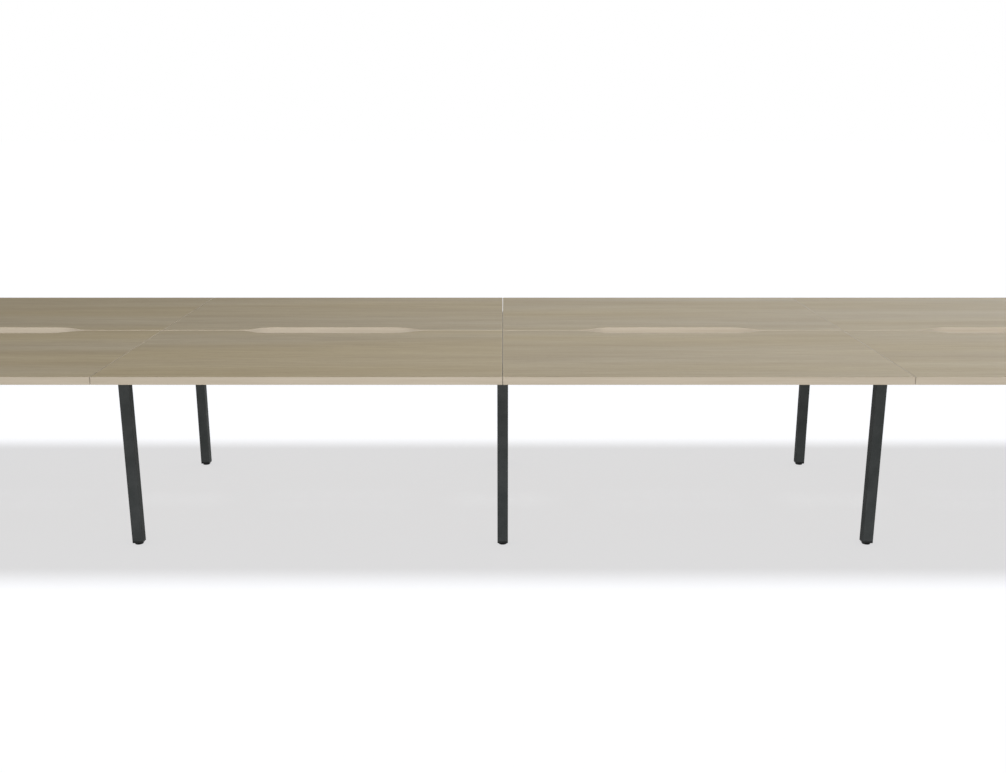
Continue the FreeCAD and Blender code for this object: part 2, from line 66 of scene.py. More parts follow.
# Places that follow from them
UNDERSIDE = HEIGHT - TOP_THICK
RAIL_CENTRE, RAIL_BOTTOM = UNDERSIDE - TUBE / 2, UNDERSIDE - TUBE
MIDDLE_FACE = (PITCH - TUBE) / 2
END_FACE = (PITCH - SEAM_GAP) / 2 - END_INSET - TUBE
END_X = 2 * PITCH - SEAM_GAP / 2 - END_INSET - TUBE / 2
END_LEG = ROW_GAP / 2 + TOP_DEPTH - END_INSET - TUBE / 2
MODULES = [PITCH * (number - 1.5) for number in range(4)]
# Every leg frame's place along the row, its leg line, and the sides on which it carries a desk
FRAMES = {"left": (-END_X, END_LEG, (1,)), "middle_1": (-PITCH, MIDDLE_LEG, (-1, 1)),
          "middle_2": (0.0, MIDDLE_LEG, (-1, 1)), "middle_3": (PITCH, MIDDLE_LEG, (-1, 1)),
          "right": (END_X, END_LEG, (-1,))}
ROWS = {"front": -1, "back": 1}


# Nodes and meshes
def add(tree, kind, settings={}, inputs={}, stops=()):
    """Adds a node with its settings. An input is a plain value, or the socket that it is linked from."""
    node = tree.nodes.new(kind)
    for name, value in settings.items():
        setattr(node, name, value)
    for name, source in inputs.items():
        if isinstance(source, bpy.types.NodeSocket):
            tree.links.new(source, node.inputs[name])
        else:
            node.inputs[name].default_value = source
    for number, (position, colour) in enumerate(stops):
        node.color_ramp.elements[number].position = position
        node.color_ramp.elements[number].color = linear(colour)
    return node


def linear(colour, alpha=1.0):
    """An sRGB hex colour as linear light."""
    levels = [int(colour[start:start + 2], 16) / 255 for start in (1, 3, 5)]
    return [v / 12.92 if v <= 0.04045 else ((v + 0.055) / 1.055) ** 2.4 for v in levels] + [alpha]


def new_finish(name):
    """A named material with its node tree and shader."""
    finish = bpy.data.materials.new(name)
    finish.use_nodes = True
    return finish, finish.node_tree, finish.node_tree.nodes["Principled BSDF"]


def new_tree(name, sizes):
    """A geometry tree whose inputs are the geometry, the named sizes and the finish."""
    tree = bpy.data.node_groups.new(name, "GeometryNodeTree")
    tree.interface.new_socket("Geometry", in_out="OUTPUT", socket_type="NodeSocketGeometry")
    tree.interface.new_socket("Geometry", in_out="INPUT", socket_type="NodeSocketGeometry")
    for size, kind in sizes.items():
        tree.interface.new_socket(size, in_out="INPUT", socket_type="NodeSocket" + kind)
    tree.interface.new_socket("Finish", in_out="INPUT", socket_type="NodeSocketMaterial")
    return tree, add(tree, "NodeGroupInput").outputs


def end_tree(tree, geometry, finish):
    """Closes a geometry tree with plain meshes in one finish, smooth but for their sharp edges."""
    whole = add(tree, "GeometryNodeRealizeInstances", inputs={"Geometry": geometry})
    bend = add(tree, "GeometryNodeInputMeshEdgeAngle")
    sharp = add(tree, "FunctionNodeCompare", {"operation": "GREATER_THAN"},
                {0: bend.outputs["Unsigned Angle"], 1: SHARP_BEND})
    smooth = add(tree, "GeometryNodeSetShadeSmooth",
                 inputs={"Geometry": whole.outputs[0], "Shade Smooth": True})
    crisp = add(tree, "GeometryNodeSetShadeSmooth", {"domain": "EDGE"},
                {"Geometry": smooth.outputs[0], "Selection": sharp.outputs[0], "Shade Smooth": False})
    painted = add(tree, "GeometryNodeSetMaterial", inputs={"Geometry": crisp.outputs[0], "Material": finish})
    add(tree, "NodeGroupOutput", inputs={"Geometry": painted.outputs[0]})


def grow(name, start, tree, body, slot, replaced=(), **values):
    """Runs a geometry tree on a starting mesh and keeps the result as a plain piece on a body."""
    source = bpy.data.objects.new(name + "_start", start)
    bpy.context.scene.collection.objects.link(source)
    modifier = source.modifiers.new(tree.name, "NODES")
    modifier.node_group = tree
    for item in tree.interface.items_tree:
        key = item.name.lower().replace(" ", "_")
        if item.in_out == "INPUT" and key in values:
            modifier[item.identifier] = values[key]
    graph = bpy.context.evaluated_depsgraph_get()
    mesh = bpy.data.meshes.new_from_object(source.evaluated_get(graph), depsgraph=graph)
    source.modifiers.remove(modifier)
    bpy.data.objects.remove(source)
    piece = bpy.data.objects.new(name, mesh)
    bpy.context.scene.collection.objects.link(piece)
    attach(piece, body)
    if replaced:
        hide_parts(*replaced)
    return piece


def line_mesh(name, runs, closed=False):
    """Edges along runs of points."""
    mesh = bpy.data.meshes.new(name)
    points, edges = [], []
    for run in runs:
        first, last = len(points), len(points) + len(run) - 1
        points += run
        edges += [(number, number + 1) for number in range(first, last)]
        if closed:
            edges.append((last, first))
    mesh.from_pydata(points, edges, [])
    return mesh


def point_mesh(name, places):
    """Loose points, each with the direction that it faces."""
    mesh = bpy.data.meshes.new(name)
    mesh.from_pydata([point for point, facing in places], [], [])
    facings = mesh.attributes.new("facing", "FLOAT_VECTOR", "POINT")
    facings.data.foreach_set("vector", [value for point, facing in places for value in facing])
    return mesh


def turned(name, rings, steps, centre=(0, 0, 0)):
    """A closed turned mesh. A ring is a height and a radius in mm, which may depend on the angle."""
    shape = bmesh.new()
    angles = [2 * math.pi * step / steps for step in range(steps)]
    loops = []
    for height, radius in rings:
        reach = [MM * (radius(angle) if callable(radius) else radius) for angle in angles]
        loops.append([shape.verts.new((centre[0] + r * math.cos(angle), centre[1] + r * math.sin(angle),
                                       centre[2] + MM * height)) for r, angle in zip(reach, angles)])
    for low, high in zip(loops, loops[1:]):
        for step in range(steps):
            after = (step + 1) % steps
            shape.faces.new((low[step], low[after], high[after], high[step]))
    shape.faces.new(list(reversed(loops[0])))
    shape.faces.new(loops[-1])
    mesh = bpy.data.meshes.new(name)
    shape.to_mesh(mesh)
    shape.free()
    return mesh


def hexagon(flat):
    """The outline of a hexagon as a radius for each angle, from half the distance over its flats."""
    return lambda angle: flat / math.cos(angle % (math.pi / 3) - math.pi / 6)


def cross(reach, half_width):
    """The outline of a cross recess as a radius for each angle."""
    def radius(angle):
        narrow = min(abs(math.sin(angle)), abs(math.cos(angle)))
        return reach if narrow * reach < half_width else half_width / narrow
    return radius


# Finishes
def melamine_decor():
    """Melamine-faced board: a printed pale oak, matt, with soft streaks, lines and pores along the row."""
    finish, tree, shader = new_finish("melamine_oak_decor")
    place = add(tree, "ShaderNodeTexCoord").outputs["Object"]
    across = add(tree, "ShaderNodeSeparateXYZ", inputs={0: place}).outputs
    # Each board is cut from its own sheet, so the grain starts afresh in every module and row
    module = add(tree, "ShaderNodeMath", {"operation": "SNAP"}, {0: across["X"], 1: PITCH})
    row = add(tree, "ShaderNodeMath", {"operation": "SIGN"}, {0: across["Y"]})
    between_rows = 2.9
    sheet = add(tree, "ShaderNodeMath", {"operation": "MULTIPLY_ADD"},
                {0: row.outputs[0], 1: between_rows, 2: module.outputs[0]})
    shades = {}
    for name, length_mm, width_mm, detail in (
            ("tone", 2600, 260, 1), ("streak", 1500, 80, 3), ("fibre", 260, 5, 3), ("line", 170, 2.4, 2),
            ("pore", 26, 0.9, 2)):
        scale = (1000 / length_mm, 1000 / width_mm, 1000 / width_mm)
        stretched = add(tree, "ShaderNodeMapping", inputs={"Vector": place, "Scale": scale})
        shades[name] = add(tree, "ShaderNodeTexNoise", {"noise_dimensions": "4D"},
                           {"Vector": stretched.outputs[0], "W": sheet.outputs[0], "Scale": 1.0,
                            "Detail": detail}).outputs["Fac"]
    figure = add(tree, "ShaderNodeMix", {"data_type": "FLOAT"},
                 {"Factor": 0.33, 2: shades["streak"], 3: shades["fibre"]})
    shade = add(tree, "ShaderNodeValToRGB", inputs={"Fac": figure.outputs[0]},
                stops=((0.28, "#9A8E78"), (0.72, "#AEA38D")))
    warm = add(tree, "ShaderNodeMapRange",
               inputs={"Value": shades["tone"], "From Min": 0.35, "From Max": 0.65})
    tinted = add(tree, "ShaderNodeMix", {"data_type": "RGBA", "blend_type": "MULTIPLY"},
                 {"Factor": warm.outputs[0], 6: shade.outputs[0], 7: linear("#FFFCF2")})
    lines = add(tree, "ShaderNodeMapRange",
                inputs={"Value": shades["line"], "From Min": 0.34, "From Max": 0.58})
    lined = add(tree, "ShaderNodeMix", {"data_type": "RGBA", "blend_type": "MULTIPLY"},
                {"Factor": 0.16, 6: tinted.outputs[2], 7: lines.outputs[0]})
    pores = add(tree, "ShaderNodeMapRange",
                inputs={"Value": shades["pore"], "From Min": 0.30, "From Max": 0.42})
    darkened = add(tree, "ShaderNodeMix", {"data_type": "RGBA", "blend_type": "MULTIPLY"},
                   {"Factor": 0.22, 6: lined.outputs[2], 7: pores.outputs[0]})
    tree.links.new(darkened.outputs[2], shader.inputs["Base Color"])
    sheen = add(tree, "ShaderNodeMapRange", inputs={"Value": shades["fibre"], "To Min": 0.52, "To Max": 0.66})
    tree.links.new(sheen.outputs[0], shader.inputs["Roughness"])
    relief = add(tree, "ShaderNodeBump",
                 inputs={"Strength": 0.15, "Distance": 0.2 * MM, "Height": pores.outputs[0]})
    tree.links.new(relief.outputs[0], shader.inputs["Normal"])
    shader.inputs["Specular IOR Level"].default_value = 0.03
    return finish


def abs_band():
    """ABS edge band: extruded, with faint lines printed on its face, and darker on its trimmed rims, partly
    the strip's unprinted body and partly painted shade that keeps the seams between tops dark.
    """
    finish, tree, shader = new_finish("abs_edge_band")
    place = add(tree, "ShaderNodeTexCoord").outputs["Object"]
    shades = {}
    for name, length_mm, width_mm in (("line", 180, 2.2), ("cloud", 420, 14)):
        scale = (1000 / length_mm, 1000 / length_mm, 1000 / width_mm)
        stretched = add(tree, "ShaderNodeMapping", inputs={"Vector": place, "Scale": scale})
        noise = add(tree, "ShaderNodeTexNoise",
                    inputs={"Vector": stretched.outputs[0], "Scale": 1.0, "Detail": 3.0})
        shades[name] = noise.outputs["Fac"]
    figure = add(tree, "ShaderNodeMix", {"data_type": "FLOAT"},
                 {"Factor": 0.5, 2: shades["line"], 3: shades["cloud"]})
    shade = add(tree, "ShaderNodeValToRGB", inputs={"Fac": figure.outputs[0]},
                stops=((0.32, "#9C9282"), (0.68, "#A79D8E")))
    facing = add(tree, "ShaderNodeTexCoord").outputs["Normal"]
    upright = add(tree, "ShaderNodeMath", {"operation": "ABSOLUTE"},
                  {0: add(tree, "ShaderNodeSeparateXYZ", inputs={0: facing}).outputs["Z"]})
    # Faces that point up or down, the trimmed rims, turn a darker tan near the decor's: partly the strip's
    # unprinted body, partly painted shade that keeps the seams between tops dark
    rim_shade_mask = add(tree, "ShaderNodeMapRange",
                  inputs={"Value": upright.outputs[0], "From Min": 0.3, "From Max": 0.7})
    rim_shaded = add(tree, "ShaderNodeMix", {"data_type": "RGBA"},
              {"Factor": rim_shade_mask.outputs[0], 6: shade.outputs[0], 7: linear("#8E836D")})
    tree.links.new(rim_shaded.outputs[2], shader.inputs["Base Color"])
    sheen = add(tree, "ShaderNodeMapRange", inputs={"Value": shades["line"], "To Min": 0.42, "To Max": 0.56})
    tree.links.new(sheen.outputs[0], shader.inputs["Roughness"])
    relief = add(tree, "ShaderNodeBump",
                 inputs={"Strength": 0.08, "Distance": 0.2 * MM, "Height": shades["line"]})
    tree.links.new(relief.outputs[0], shader.inputs["Normal"])
    shader.inputs["Specular IOR Level"].default_value = 0.08
    return finish


def powder_coat():
    """Anthracite powder coat on steel: baked on, matt, with a fine peel in its surface, and light and dark
    specks painted into its colour as the glints of that peel.
    """
    finish, tree, shader = new_finish("anthracite_powder_coat")
    place = add(tree, "ShaderNodeTexCoord").outputs["Object"]
    # The real peel is near 0.4 mm, drawn at 1.2 mm so that it shows from a step away
    peel = add(tree, "ShaderNodeTexNoise", inputs={"Vector": place, "Scale": 1000 / 1.2, "Detail": 2.0})
    drift = add(tree, "ShaderNodeTexNoise", inputs={"Vector": place, "Scale": 1000 / 90, "Detail": 3.0})
    # The colour drifts a little at random, and the peel's specks are painted glints: mottling that stands in
    # for the tiny highlights of the peel
    drift_and_painted_glints = add(tree, "ShaderNodeMix", {"data_type": "FLOAT"},
                   {"Factor": 0.6, 2: drift.outputs["Fac"], 3: peel.outputs["Fac"]})
    shade = add(tree, "ShaderNodeValToRGB", inputs={"Fac": drift_and_painted_glints.outputs[0]},
                stops=((0.35, "#292C2C"), (0.65, "#3D3F3F")))
    tree.links.new(shade.outputs[0], shader.inputs["Base Color"])
    sheen = add(tree, "ShaderNodeMapRange",
                inputs={"Value": peel.outputs["Fac"], "To Min": 0.62, "To Max": 0.80})
    tree.links.new(sheen.outputs[0], shader.inputs["Roughness"])
    relief = add(tree, "ShaderNodeBump",
                 inputs={"Strength": 0.7, "Distance": 0.2 * MM, "Height": peel.outputs["Fac"]})
    tree.links.new(relief.outputs[0], shader.inputs["Normal"])
    shader.inputs["Specular IOR Level"].default_value = 0.05
    return finish


def black_polyamide():
    """Black polyamide: injection moulded, with the fine spark-eroded grain of its mould."""
    finish, tree, shader = new_finish("black_moulded_polyamide")
    place = add(tree, "ShaderNodeTexCoord").outputs["Object"]
    grain = add(tree, "ShaderNodeTexVoronoi", inputs={"Vector": place, "Scale": 1000 / 0.9})
    cloud = add(tree, "ShaderNodeTexNoise", inputs={"Vector": place, "Scale": 1000 / 12, "Detail": 3.0})
    shade = add(tree, "ShaderNodeValToRGB", inputs={"Fac": cloud.outputs["Fac"]},
                stops=((0.3, "#0E0F0F"), (0.7, "#161717")))
    tree.links.new(shade.outputs[0], shader.inputs["Base Color"])
    sheen = add(tree, "ShaderNodeMapRange",
                inputs={"Value": grain.outputs["Distance"], "To Min": 0.45, "To Max": 0.6})
    tree.links.new(sheen.outputs[0], shader.inputs["Roughness"])
    relief = add(tree, "ShaderNodeBump",
                 inputs={"Strength": 0.2, "Distance": 0.2 * MM, "Height": grain.outputs["Distance"]})
    tree.links.new(relief.outputs[0], shader.inputs["Normal"])
    shader.inputs["Specular IOR Level"].default_value = 0.25
    return finish


def zinc_plate():
    """Zinc-plated steel: electroplated, bright grey with a cool cloudiness and soft highlights."""
    finish, tree, shader = new_finish("zinc_plated_steel")
    place = add(tree, "ShaderNodeTexCoord").outputs["Object"]
    cloud = add(tree, "ShaderNodeTexNoise", inputs={"Vector": place, "Scale": 1000 / 5, "Detail": 4.0})
    shade = add(tree, "ShaderNodeValToRGB", inputs={"Fac": cloud.outputs["Fac"]},
                stops=((0.3, "#B4B8BC"), (0.7, "#CFD1D0")))
    tree.links.new(shade.outputs[0], shader.inputs["Base Color"])
    sheen = add(tree, "ShaderNodeMapRange",
                inputs={"Value": cloud.outputs["Fac"], "To Min": 0.26, "To Max": 0.44})
    tree.links.new(sheen.outputs[0], shader.inputs["Roughness"])
    shader.inputs["Metallic"].default_value = 1.0
    return finish


decor, band, coat, plastic, zinc = (
    melamine_decor(), abs_band(), powder_coat(), black_polyamide(), zinc_plate())
FINISHES = {"desktop_decor": decor, "edge_band": band, "frame_steel": coat, "tray_steel": coat,
            "black_plastic": plastic, "zinc_steel": zinc}
for part in frame["record"]["subparts"]:
    for slot in frame["nodes"][part["node"]].material_slots:
        slot.material = FINISHES[part["material_slot"]]


# Edge bands, swept round the outline of every top
def arc(centre, radius, start, finish, steps):
    """Points along an arc in plan, angles in degrees."""
    angles = [math.radians(start + (finish - start) * step / steps) for step in range(steps + 1)]
    return [(centre[0] + radius * math.cos(a), centre[1] + radius * math.sin(a)) for a in angles]


def top_outline():
    """A front top's outline in plan, anticlockwise about its module's centre."""
    side, front, inner = (PITCH - SEAM_GAP) / 2, -(ROW_GAP / 2 + TOP_DEPTH), -ROW_GAP / 2
    curve = (PORT_RAMP ** 2 + PORT_DEPTH ** 2) / (4 * PORT_DEPTH)
    sweep = math.degrees(2 * math.atan2(PORT_DEPTH, PORT_RAMP))
    lip_x, hollow_x = PORT_FLAT / 2 + PORT_RAMP, PORT_FLAT / 2
    lip_y, hollow_y = inner - curve, inner - PORT_DEPTH + curve
    corner, turn_steps, ramp_steps = BAND_THICK, 5, 14
    points = arc((-side + corner, front + corner), corner, 180, 270, turn_steps)
    points += arc((side - corner, front + corner), corner, 270, 360, turn_steps)
    points += arc((side - corner, inner - corner), corner, 0, 90, turn_steps)
    points += arc((lip_x, lip_y), curve, 90, 90 + sweep, ramp_steps)
    points += arc((hollow_x, hollow_y), curve, 270 + sweep, 270, ramp_steps)[1:]
    points += arc((-hollow_x, hollow_y), curve, 270, 270 - sweep, ramp_steps)
    points += arc((-lip_x, lip_y), curve, 90 - sweep, 90, ramp_steps)[1:]
    points += arc((-side + corner, inner - corner), corner, 90, 180, turn_steps)
    return points


def band_tree():
    """Sweeps a strip round closed outlines. Its outer corners are rounded, its inner ones meet the board."""
    tree, sizes = new_tree("edge_band_sweep", {"Thickness": "Float", "Height": "Float", "Rounding": "Float"})
    path = add(tree, "GeometryNodeMeshToCurve", inputs={"Mesh": sizes["Geometry"]})
    level = add(tree, "GeometryNodeSetCurveNormal", {"mode": "Z_UP"}, {"Curve": path.outputs[0]})
    strip = add(tree, "GeometryNodeCurvePrimitiveQuadrilateral",
                inputs={"Width": sizes["Thickness"], "Height": sizes["Height"]})
    spot = add(tree, "ShaderNodeSeparateXYZ", inputs={0: add(tree, "GeometryNodeInputPosition").outputs[0]})
    outer = add(tree, "FunctionNodeCompare", {"operation": "GREATER_THAN"}, {0: spot.outputs["X"], 1: 0.0})
    rounding = add(tree, "ShaderNodeMath", {"operation": "MULTIPLY"},
                   {0: outer.outputs[0], 1: sizes["Rounding"]})
    rounded = add(tree, "GeometryNodeFilletCurve", {"mode": "POLY"},
                  {"Curve": strip.outputs[0], "Count": 4, "Radius": rounding.outputs[0]})
    inward = add(tree, "ShaderNodeMath", {"operation": "MULTIPLY"}, {0: sizes["Thickness"], 1: -0.5})
    upward = add(tree, "ShaderNodeMath", {"operation": "MULTIPLY"}, {0: sizes["Height"], 1: -0.5})
    shift = add(tree, "ShaderNodeCombineXYZ", inputs={"X": inward.outputs[0], "Y": upward.outputs[0]})
    profile = add(tree, "GeometryNodeTransform",
                  inputs={"Geometry": rounded.outputs[0], "Translation": shift.outputs[0]})
    swept = add(tree, "GeometryNodeCurveToMesh",
                inputs={"Curve": level.outputs[0], "Profile Curve": profile.outputs[0]})
    # At the corners of a top the inner side of the strip turns about one point
    merged = add(tree, "GeometryNodeMergeByDistance",
                 inputs={"Geometry": swept.outputs[0], "Distance": 0.02 * MM})
    end_tree(tree, merged.outputs[0], sizes["Finish"])
    return tree


banding = band_tree()
bands = {}
for row, way in ROWS.items():
    outlines = [[(centre + x * -way, y * -way, UNDERSIDE) for x, y in top_outline()] for centre in MODULES]
    names = ["edge_band_%s_%d" % (row, number + 1) for number in range(len(MODULES))]
    start = line_mesh("top_outlines_" + row, outlines, closed=True)
    bands[row] = grow("edge_bands_" + row, start, banding, "desk", "edge_band", names, thickness=BAND_THICK,
                      height=TOP_THICK, rounding=BAND_ROUND, finish=band)


# Weld beads under the paint, where the tubes, cleats and plates of the frames and beams meet
def weld_runs():
    """The start and end of every bead."""
    half, clear = TUBE / 2, TUBE_ROUND
    low, high = RAIL_BOTTOM + clear, UNDERSIDE - clear
    runs = []
    for name, (x, leg_line, sides) in FRAMES.items():
        for row in ROWS.values():
            # Across both faces of a leg, but an end leg stands flush with the end of its rail
            faces = (-half, half) if len(sides) == 2 else (-row * half,)
            runs += [[(x - half + clear, row * leg_line + face, RAIL_BOTTOM),
                      (x + half - clear, row * leg_line + face, RAIL_BOTTOM)] for face in faces]
            for side in (-1, 1):
                seam = x + side * (half - WELD_IN)
                runs.append([(seam, row * leg_line - half + clear, RAIL_BOTTOM + WELD_UP),
                             (seam, row * leg_line + half - clear, RAIL_BOTTOM + WELD_UP)])
            cleat_low = UNDERSIDE - CLEAT_DROP + clear
            for line in CLEAT_LINES:
                runs += [[(x + side * half, row * line + edge * CLEAT_WIDTH / 2, cleat_low),
                          (x + side * half, row * line + edge * CLEAT_WIDTH / 2, high)]
                         for side in sides for edge in (-1, 1)]
    for x, line, facing in plate_places():
        runs += [[(x, line + edge * BEAM_WIDTH / 2, low), (x, line + edge * BEAM_WIDTH / 2, high)]
                 for edge in (-1, 1)]
    return runs


def plate_places():
    """Every beam plate's inner face: its X, its beam's line, and the way along the row that it faces."""
    places = []
    for number, centre in enumerate(MODULES):
        left = END_FACE if number == 0 else MIDDLE_FACE
        right = END_FACE if number == len(MODULES) - 1 else MIDDLE_FACE
        for row in ROWS.values():
            places.append((centre - left + PLATE_THICK, row * BEAM_LINE, 1))
            places.append((centre + right - PLATE_THICK, row * BEAM_LINE, -1))
    return places


def bead_tree():
    """A rippled bead along each line, drawn in at its ends."""
    tree, sizes = new_tree("weld_bead", {"Radius": "Float", "Ripple": "Float", "Swell": "Float"})
    path = add(tree, "GeometryNodeMeshToCurve", inputs={"Mesh": sizes["Geometry"]})
    step = add(tree, "ShaderNodeMath", {"operation": "DIVIDE"}, {0: sizes["Ripple"], 1: 3.0})
    fine = add(tree, "GeometryNodeResampleCurve", {"mode": "LENGTH"},
               {"Curve": path.outputs[0], "Length": step.outputs[0]})
    along = add(tree, "GeometryNodeSplineParameter").outputs
    turns = add(tree, "ShaderNodeMath", {"operation": "DIVIDE"}, {0: along["Length"], 1: sizes["Ripple"]})
    angle = add(tree, "ShaderNodeMath", {"operation": "MULTIPLY"}, {0: turns.outputs[0], 1: 2 * math.pi})
    wave = add(tree, "ShaderNodeMath", {"operation": "SINE"}, {0: angle.outputs[0]})
    swell = add(tree, "ShaderNodeMath", {"operation": "MULTIPLY_ADD"},
                {0: wave.outputs[0], 1: sizes["Swell"], 2: 1.0})
    middle = add(tree, "ShaderNodeMath", {"operation": "PINGPONG"}, {0: along["Factor"], 1: 0.5})
    taper = add(tree, "ShaderNodeMapRange",
                inputs={"Value": middle.outputs[0], "From Max": 0.08, "To Min": 0.45, "To Max": 1.0})
    drawn = add(tree, "ShaderNodeMath", {"operation": "MULTIPLY"}, {0: swell.outputs[0], 1: taper.outputs[0]})
    circle = add(tree, "GeometryNodeCurvePrimitiveCircle",
                 inputs={"Resolution": 8, "Radius": sizes["Radius"]})
    swept = add(tree, "GeometryNodeCurveToMesh",
                inputs={"Curve": fine.outputs[0], "Profile Curve": circle.outputs[0],
                        "Scale": drawn.outputs[0], "Fill Caps": True})
    end_tree(tree, swept.outputs[0], sizes["Finish"])
    return tree


grow("weld_beads", line_mesh("weld_runs", weld_runs()), bead_tree(), "desk", "frame_steel",
     radius=WELD_RADIUS, ripple=WELD_RIPPLE, swell=WELD_SWELL, finish=coat)


# Fasteners, each kind turned once and set at every place
def fastener_tree():
    """Sets a fastener at every point, along the way that the point faces and at its own angle of turn."""
    tree, sizes = new_tree("fastener_set", {"Fastener": "Object", "Seed": "Int"})
    facing = add(tree, "GeometryNodeInputNamedAttribute", {"data_type": "FLOAT_VECTOR"}, {"Name": "facing"})
    aimed = add(tree, "FunctionNodeAlignRotationToVector", {"axis": "Z"}, {"Vector": facing.outputs[0]})
    stop = add(tree, "FunctionNodeRandomValue", {"data_type": "FLOAT"},
               {"Max": 2 * math.pi, "Seed": sizes["Seed"]})
    angle = next(output for output in stop.outputs if output.enabled)
    twist = add(tree, "FunctionNodeAxisAngleToRotation", inputs={"Axis": (0, 0, 1), "Angle": angle})
    driven = add(tree, "FunctionNodeRotateRotation", {"rotation_space": "LOCAL"},
                 {"Rotation": aimed.outputs[0], "Rotate By": twist.outputs[0]})
    master = add(tree, "GeometryNodeObjectInfo", inputs={"Object": sizes["Fastener"]})
    placed = add(tree, "GeometryNodeInstanceOnPoints",
                 inputs={"Points": sizes["Geometry"], "Instance": master.outputs["Geometry"],
                         "Rotation": driven.outputs[0]})
    end_tree(tree, placed.outputs[0], sizes["Finish"])
    return tree


def wood_screw():
    """A pan-head wood screw with a cross recess, shank up, from the floor of the recess to the tip."""
    return turned("wood_screw", (
        (-1.3, cross(1.3, 0.42)), (-2.95, cross(2.4, 0.62)), (-3.0, 3.0), (-2.5, 4.2), (-1.4, 4.72),
        (0, 4.75), (0, 2.4), (17, 2.4), (21, 0.6)), steps=32)


def button_bolt():
    """A button-head bolt with a hexagon socket, head up, from the end of its shank to the socket's floor."""
    return turned("button_bolt", (
        (-14, 3.4), (-13.4, 4), (0, 4), (0, 6.9), (0.9, 7), (2.2, 6.5), (3.5, 5.2), (4.3, 3.9), (4.4, 3.4),
        (4.3, hexagon(2.5)), (1.8, hexagon(2.5))), steps=36)


# Lines of screws under a top: distance from the middle of the row, places along it, thickness of the steel
SCREW_LINES = [(line, (-FIX_ACROSS, FIX_ACROSS), CLEAT_THICK) for line in CLEAT_LINES]
SCREW_LINES.append((BEAM_LINE, (-BEAM_FIX, 0, BEAM_FIX), TUBE_WALL))
SCREW_LINES.append((LUG_LINE, (-LUG_ACROSS, LUG_ACROSS), TRAY_SHEET))
screw_places = [((centre + x, row * line, UNDERSIDE - steel), (0, 0, 1))
                for centre in MODULES for row in ROWS.values()
                for line, along, steel in SCREW_LINES for x in along]
bolt_places = [((x, line + side * BOLT_SPREAD, RAIL_CENTRE), (facing, 0, 0))
               for x, line, facing in plate_places() for side in (-1, 1)]
fastening = fastener_tree()
for name, replaced, shape, places, seed in (("wood_screws", "top_screws", wood_screw(), screw_places, 4),
                                            ("button_bolts", "beam_bolts", button_bolt(), bolt_places, 7)):
    master = bpy.data.objects.new(name + "_master", shape)
    grow(name, point_mesh(name + "_places", places), fastening, "desk", "zinc_steel", [replaced],
         fastener=master, seed=seed, finish=zinc)
    bpy.data.objects.remove(master)


# Studs of the levelling feet, each with its thread
def thread_tree():
    """Adds a thread that winds up from a point, on the rod that comes in."""
    tree, sizes = new_tree("stud_thread", {"Foot": "Vector", "Radius": "Float", "Pitch": "Float",
                                           "Turns": "Float", "Crest": "Float"})
    rise = add(tree, "ShaderNodeMath", {"operation": "MULTIPLY"}, {0: sizes["Pitch"], 1: sizes["Turns"]})
    coil = add(tree, "GeometryNodeCurveSpiral",
               inputs={"Resolution": 18, "Rotations": sizes["Turns"], "Start Radius": sizes["Radius"],
                       "End Radius": sizes["Radius"], "Height": rise.outputs[0]})
    level = add(tree, "GeometryNodeSetCurveNormal", {"mode": "Z_UP"}, {"Curve": coil.outputs[0]})
    ridge = add(tree, "GeometryNodeCurvePrimitiveCircle", inputs={"Resolution": 3, "Radius": sizes["Crest"]})
    swept = add(tree, "GeometryNodeCurveToMesh",
                inputs={"Curve": level.outputs[0], "Profile Curve": ridge.outputs[0], "Fill Caps": True})
    raised = add(tree, "GeometryNodeTransform",
                 inputs={"Geometry": swept.outputs[0], "Translation": sizes["Foot"]})
    joined = add(tree, "GeometryNodeJoinGeometry", inputs={"Geometry": sizes["Geometry"]})
    tree.links.new(raised.outputs[0], joined.inputs["Geometry"])
    end_tree(tree, joined.outputs[0], sizes["Finish"])
    return tree


def stud_rod(name, centre):
    """Head in the pad, neck, hexagon collar and the rod at the thread's root."""
    return turned(name, (
        (1.4, 5.2), (1.7, 5.5), (3.2, 5.5), (3.2, 3.95), (5.0, 3.95), (5.0, hexagon(6.2)),
        (5.3, hexagon(6.49)), (7.4, hexagon(6.49)), (7.7, hexagon(6.2)), (7.7, 3.35), (41.0, 3.35),
        (41.4, 2.9)), 36, centre)


threading = thread_tree()
for name, (x, leg_line, sides) in FRAMES.items():
    for row, way in ROWS.items():
        foot = "%s_%s" % (name, row)
        rod = stud_rod("stud_rod_" + foot, (x, way * leg_line, 0))
        grow("threaded_stud_" + foot, rod, threading, "stud_" + foot, "zinc_steel", ["foot_stud_" + foot],
             foot=(x, way * leg_line, THREAD_FOOT), radius=THREAD_ROOT, pitch=THREAD_PITCH,
             turns=THREAD_TURNS, crest=THREAD_CREST, finish=zinc)


# Studio: a pale floor that keeps the shadow, soft light from all round, and the camera
def seen_straight(tree):
    """A socket that is 1 for the camera, a reflection or clear glass, and 0 for the light in the room."""
    path = add(tree, "ShaderNodeLightPath").outputs
    mirrored = add(tree, "ShaderNodeMath", {"operation": "MAXIMUM"},
                   {0: path["Is Camera Ray"], 1: path["Is Glossy Ray"]})
    through = add(tree, "ShaderNodeMath", {"operation": "MAXIMUM"},
                  {0: mirrored.outputs[0], 1: path["Is Transmission Ray"]})
    return through.outputs[0]


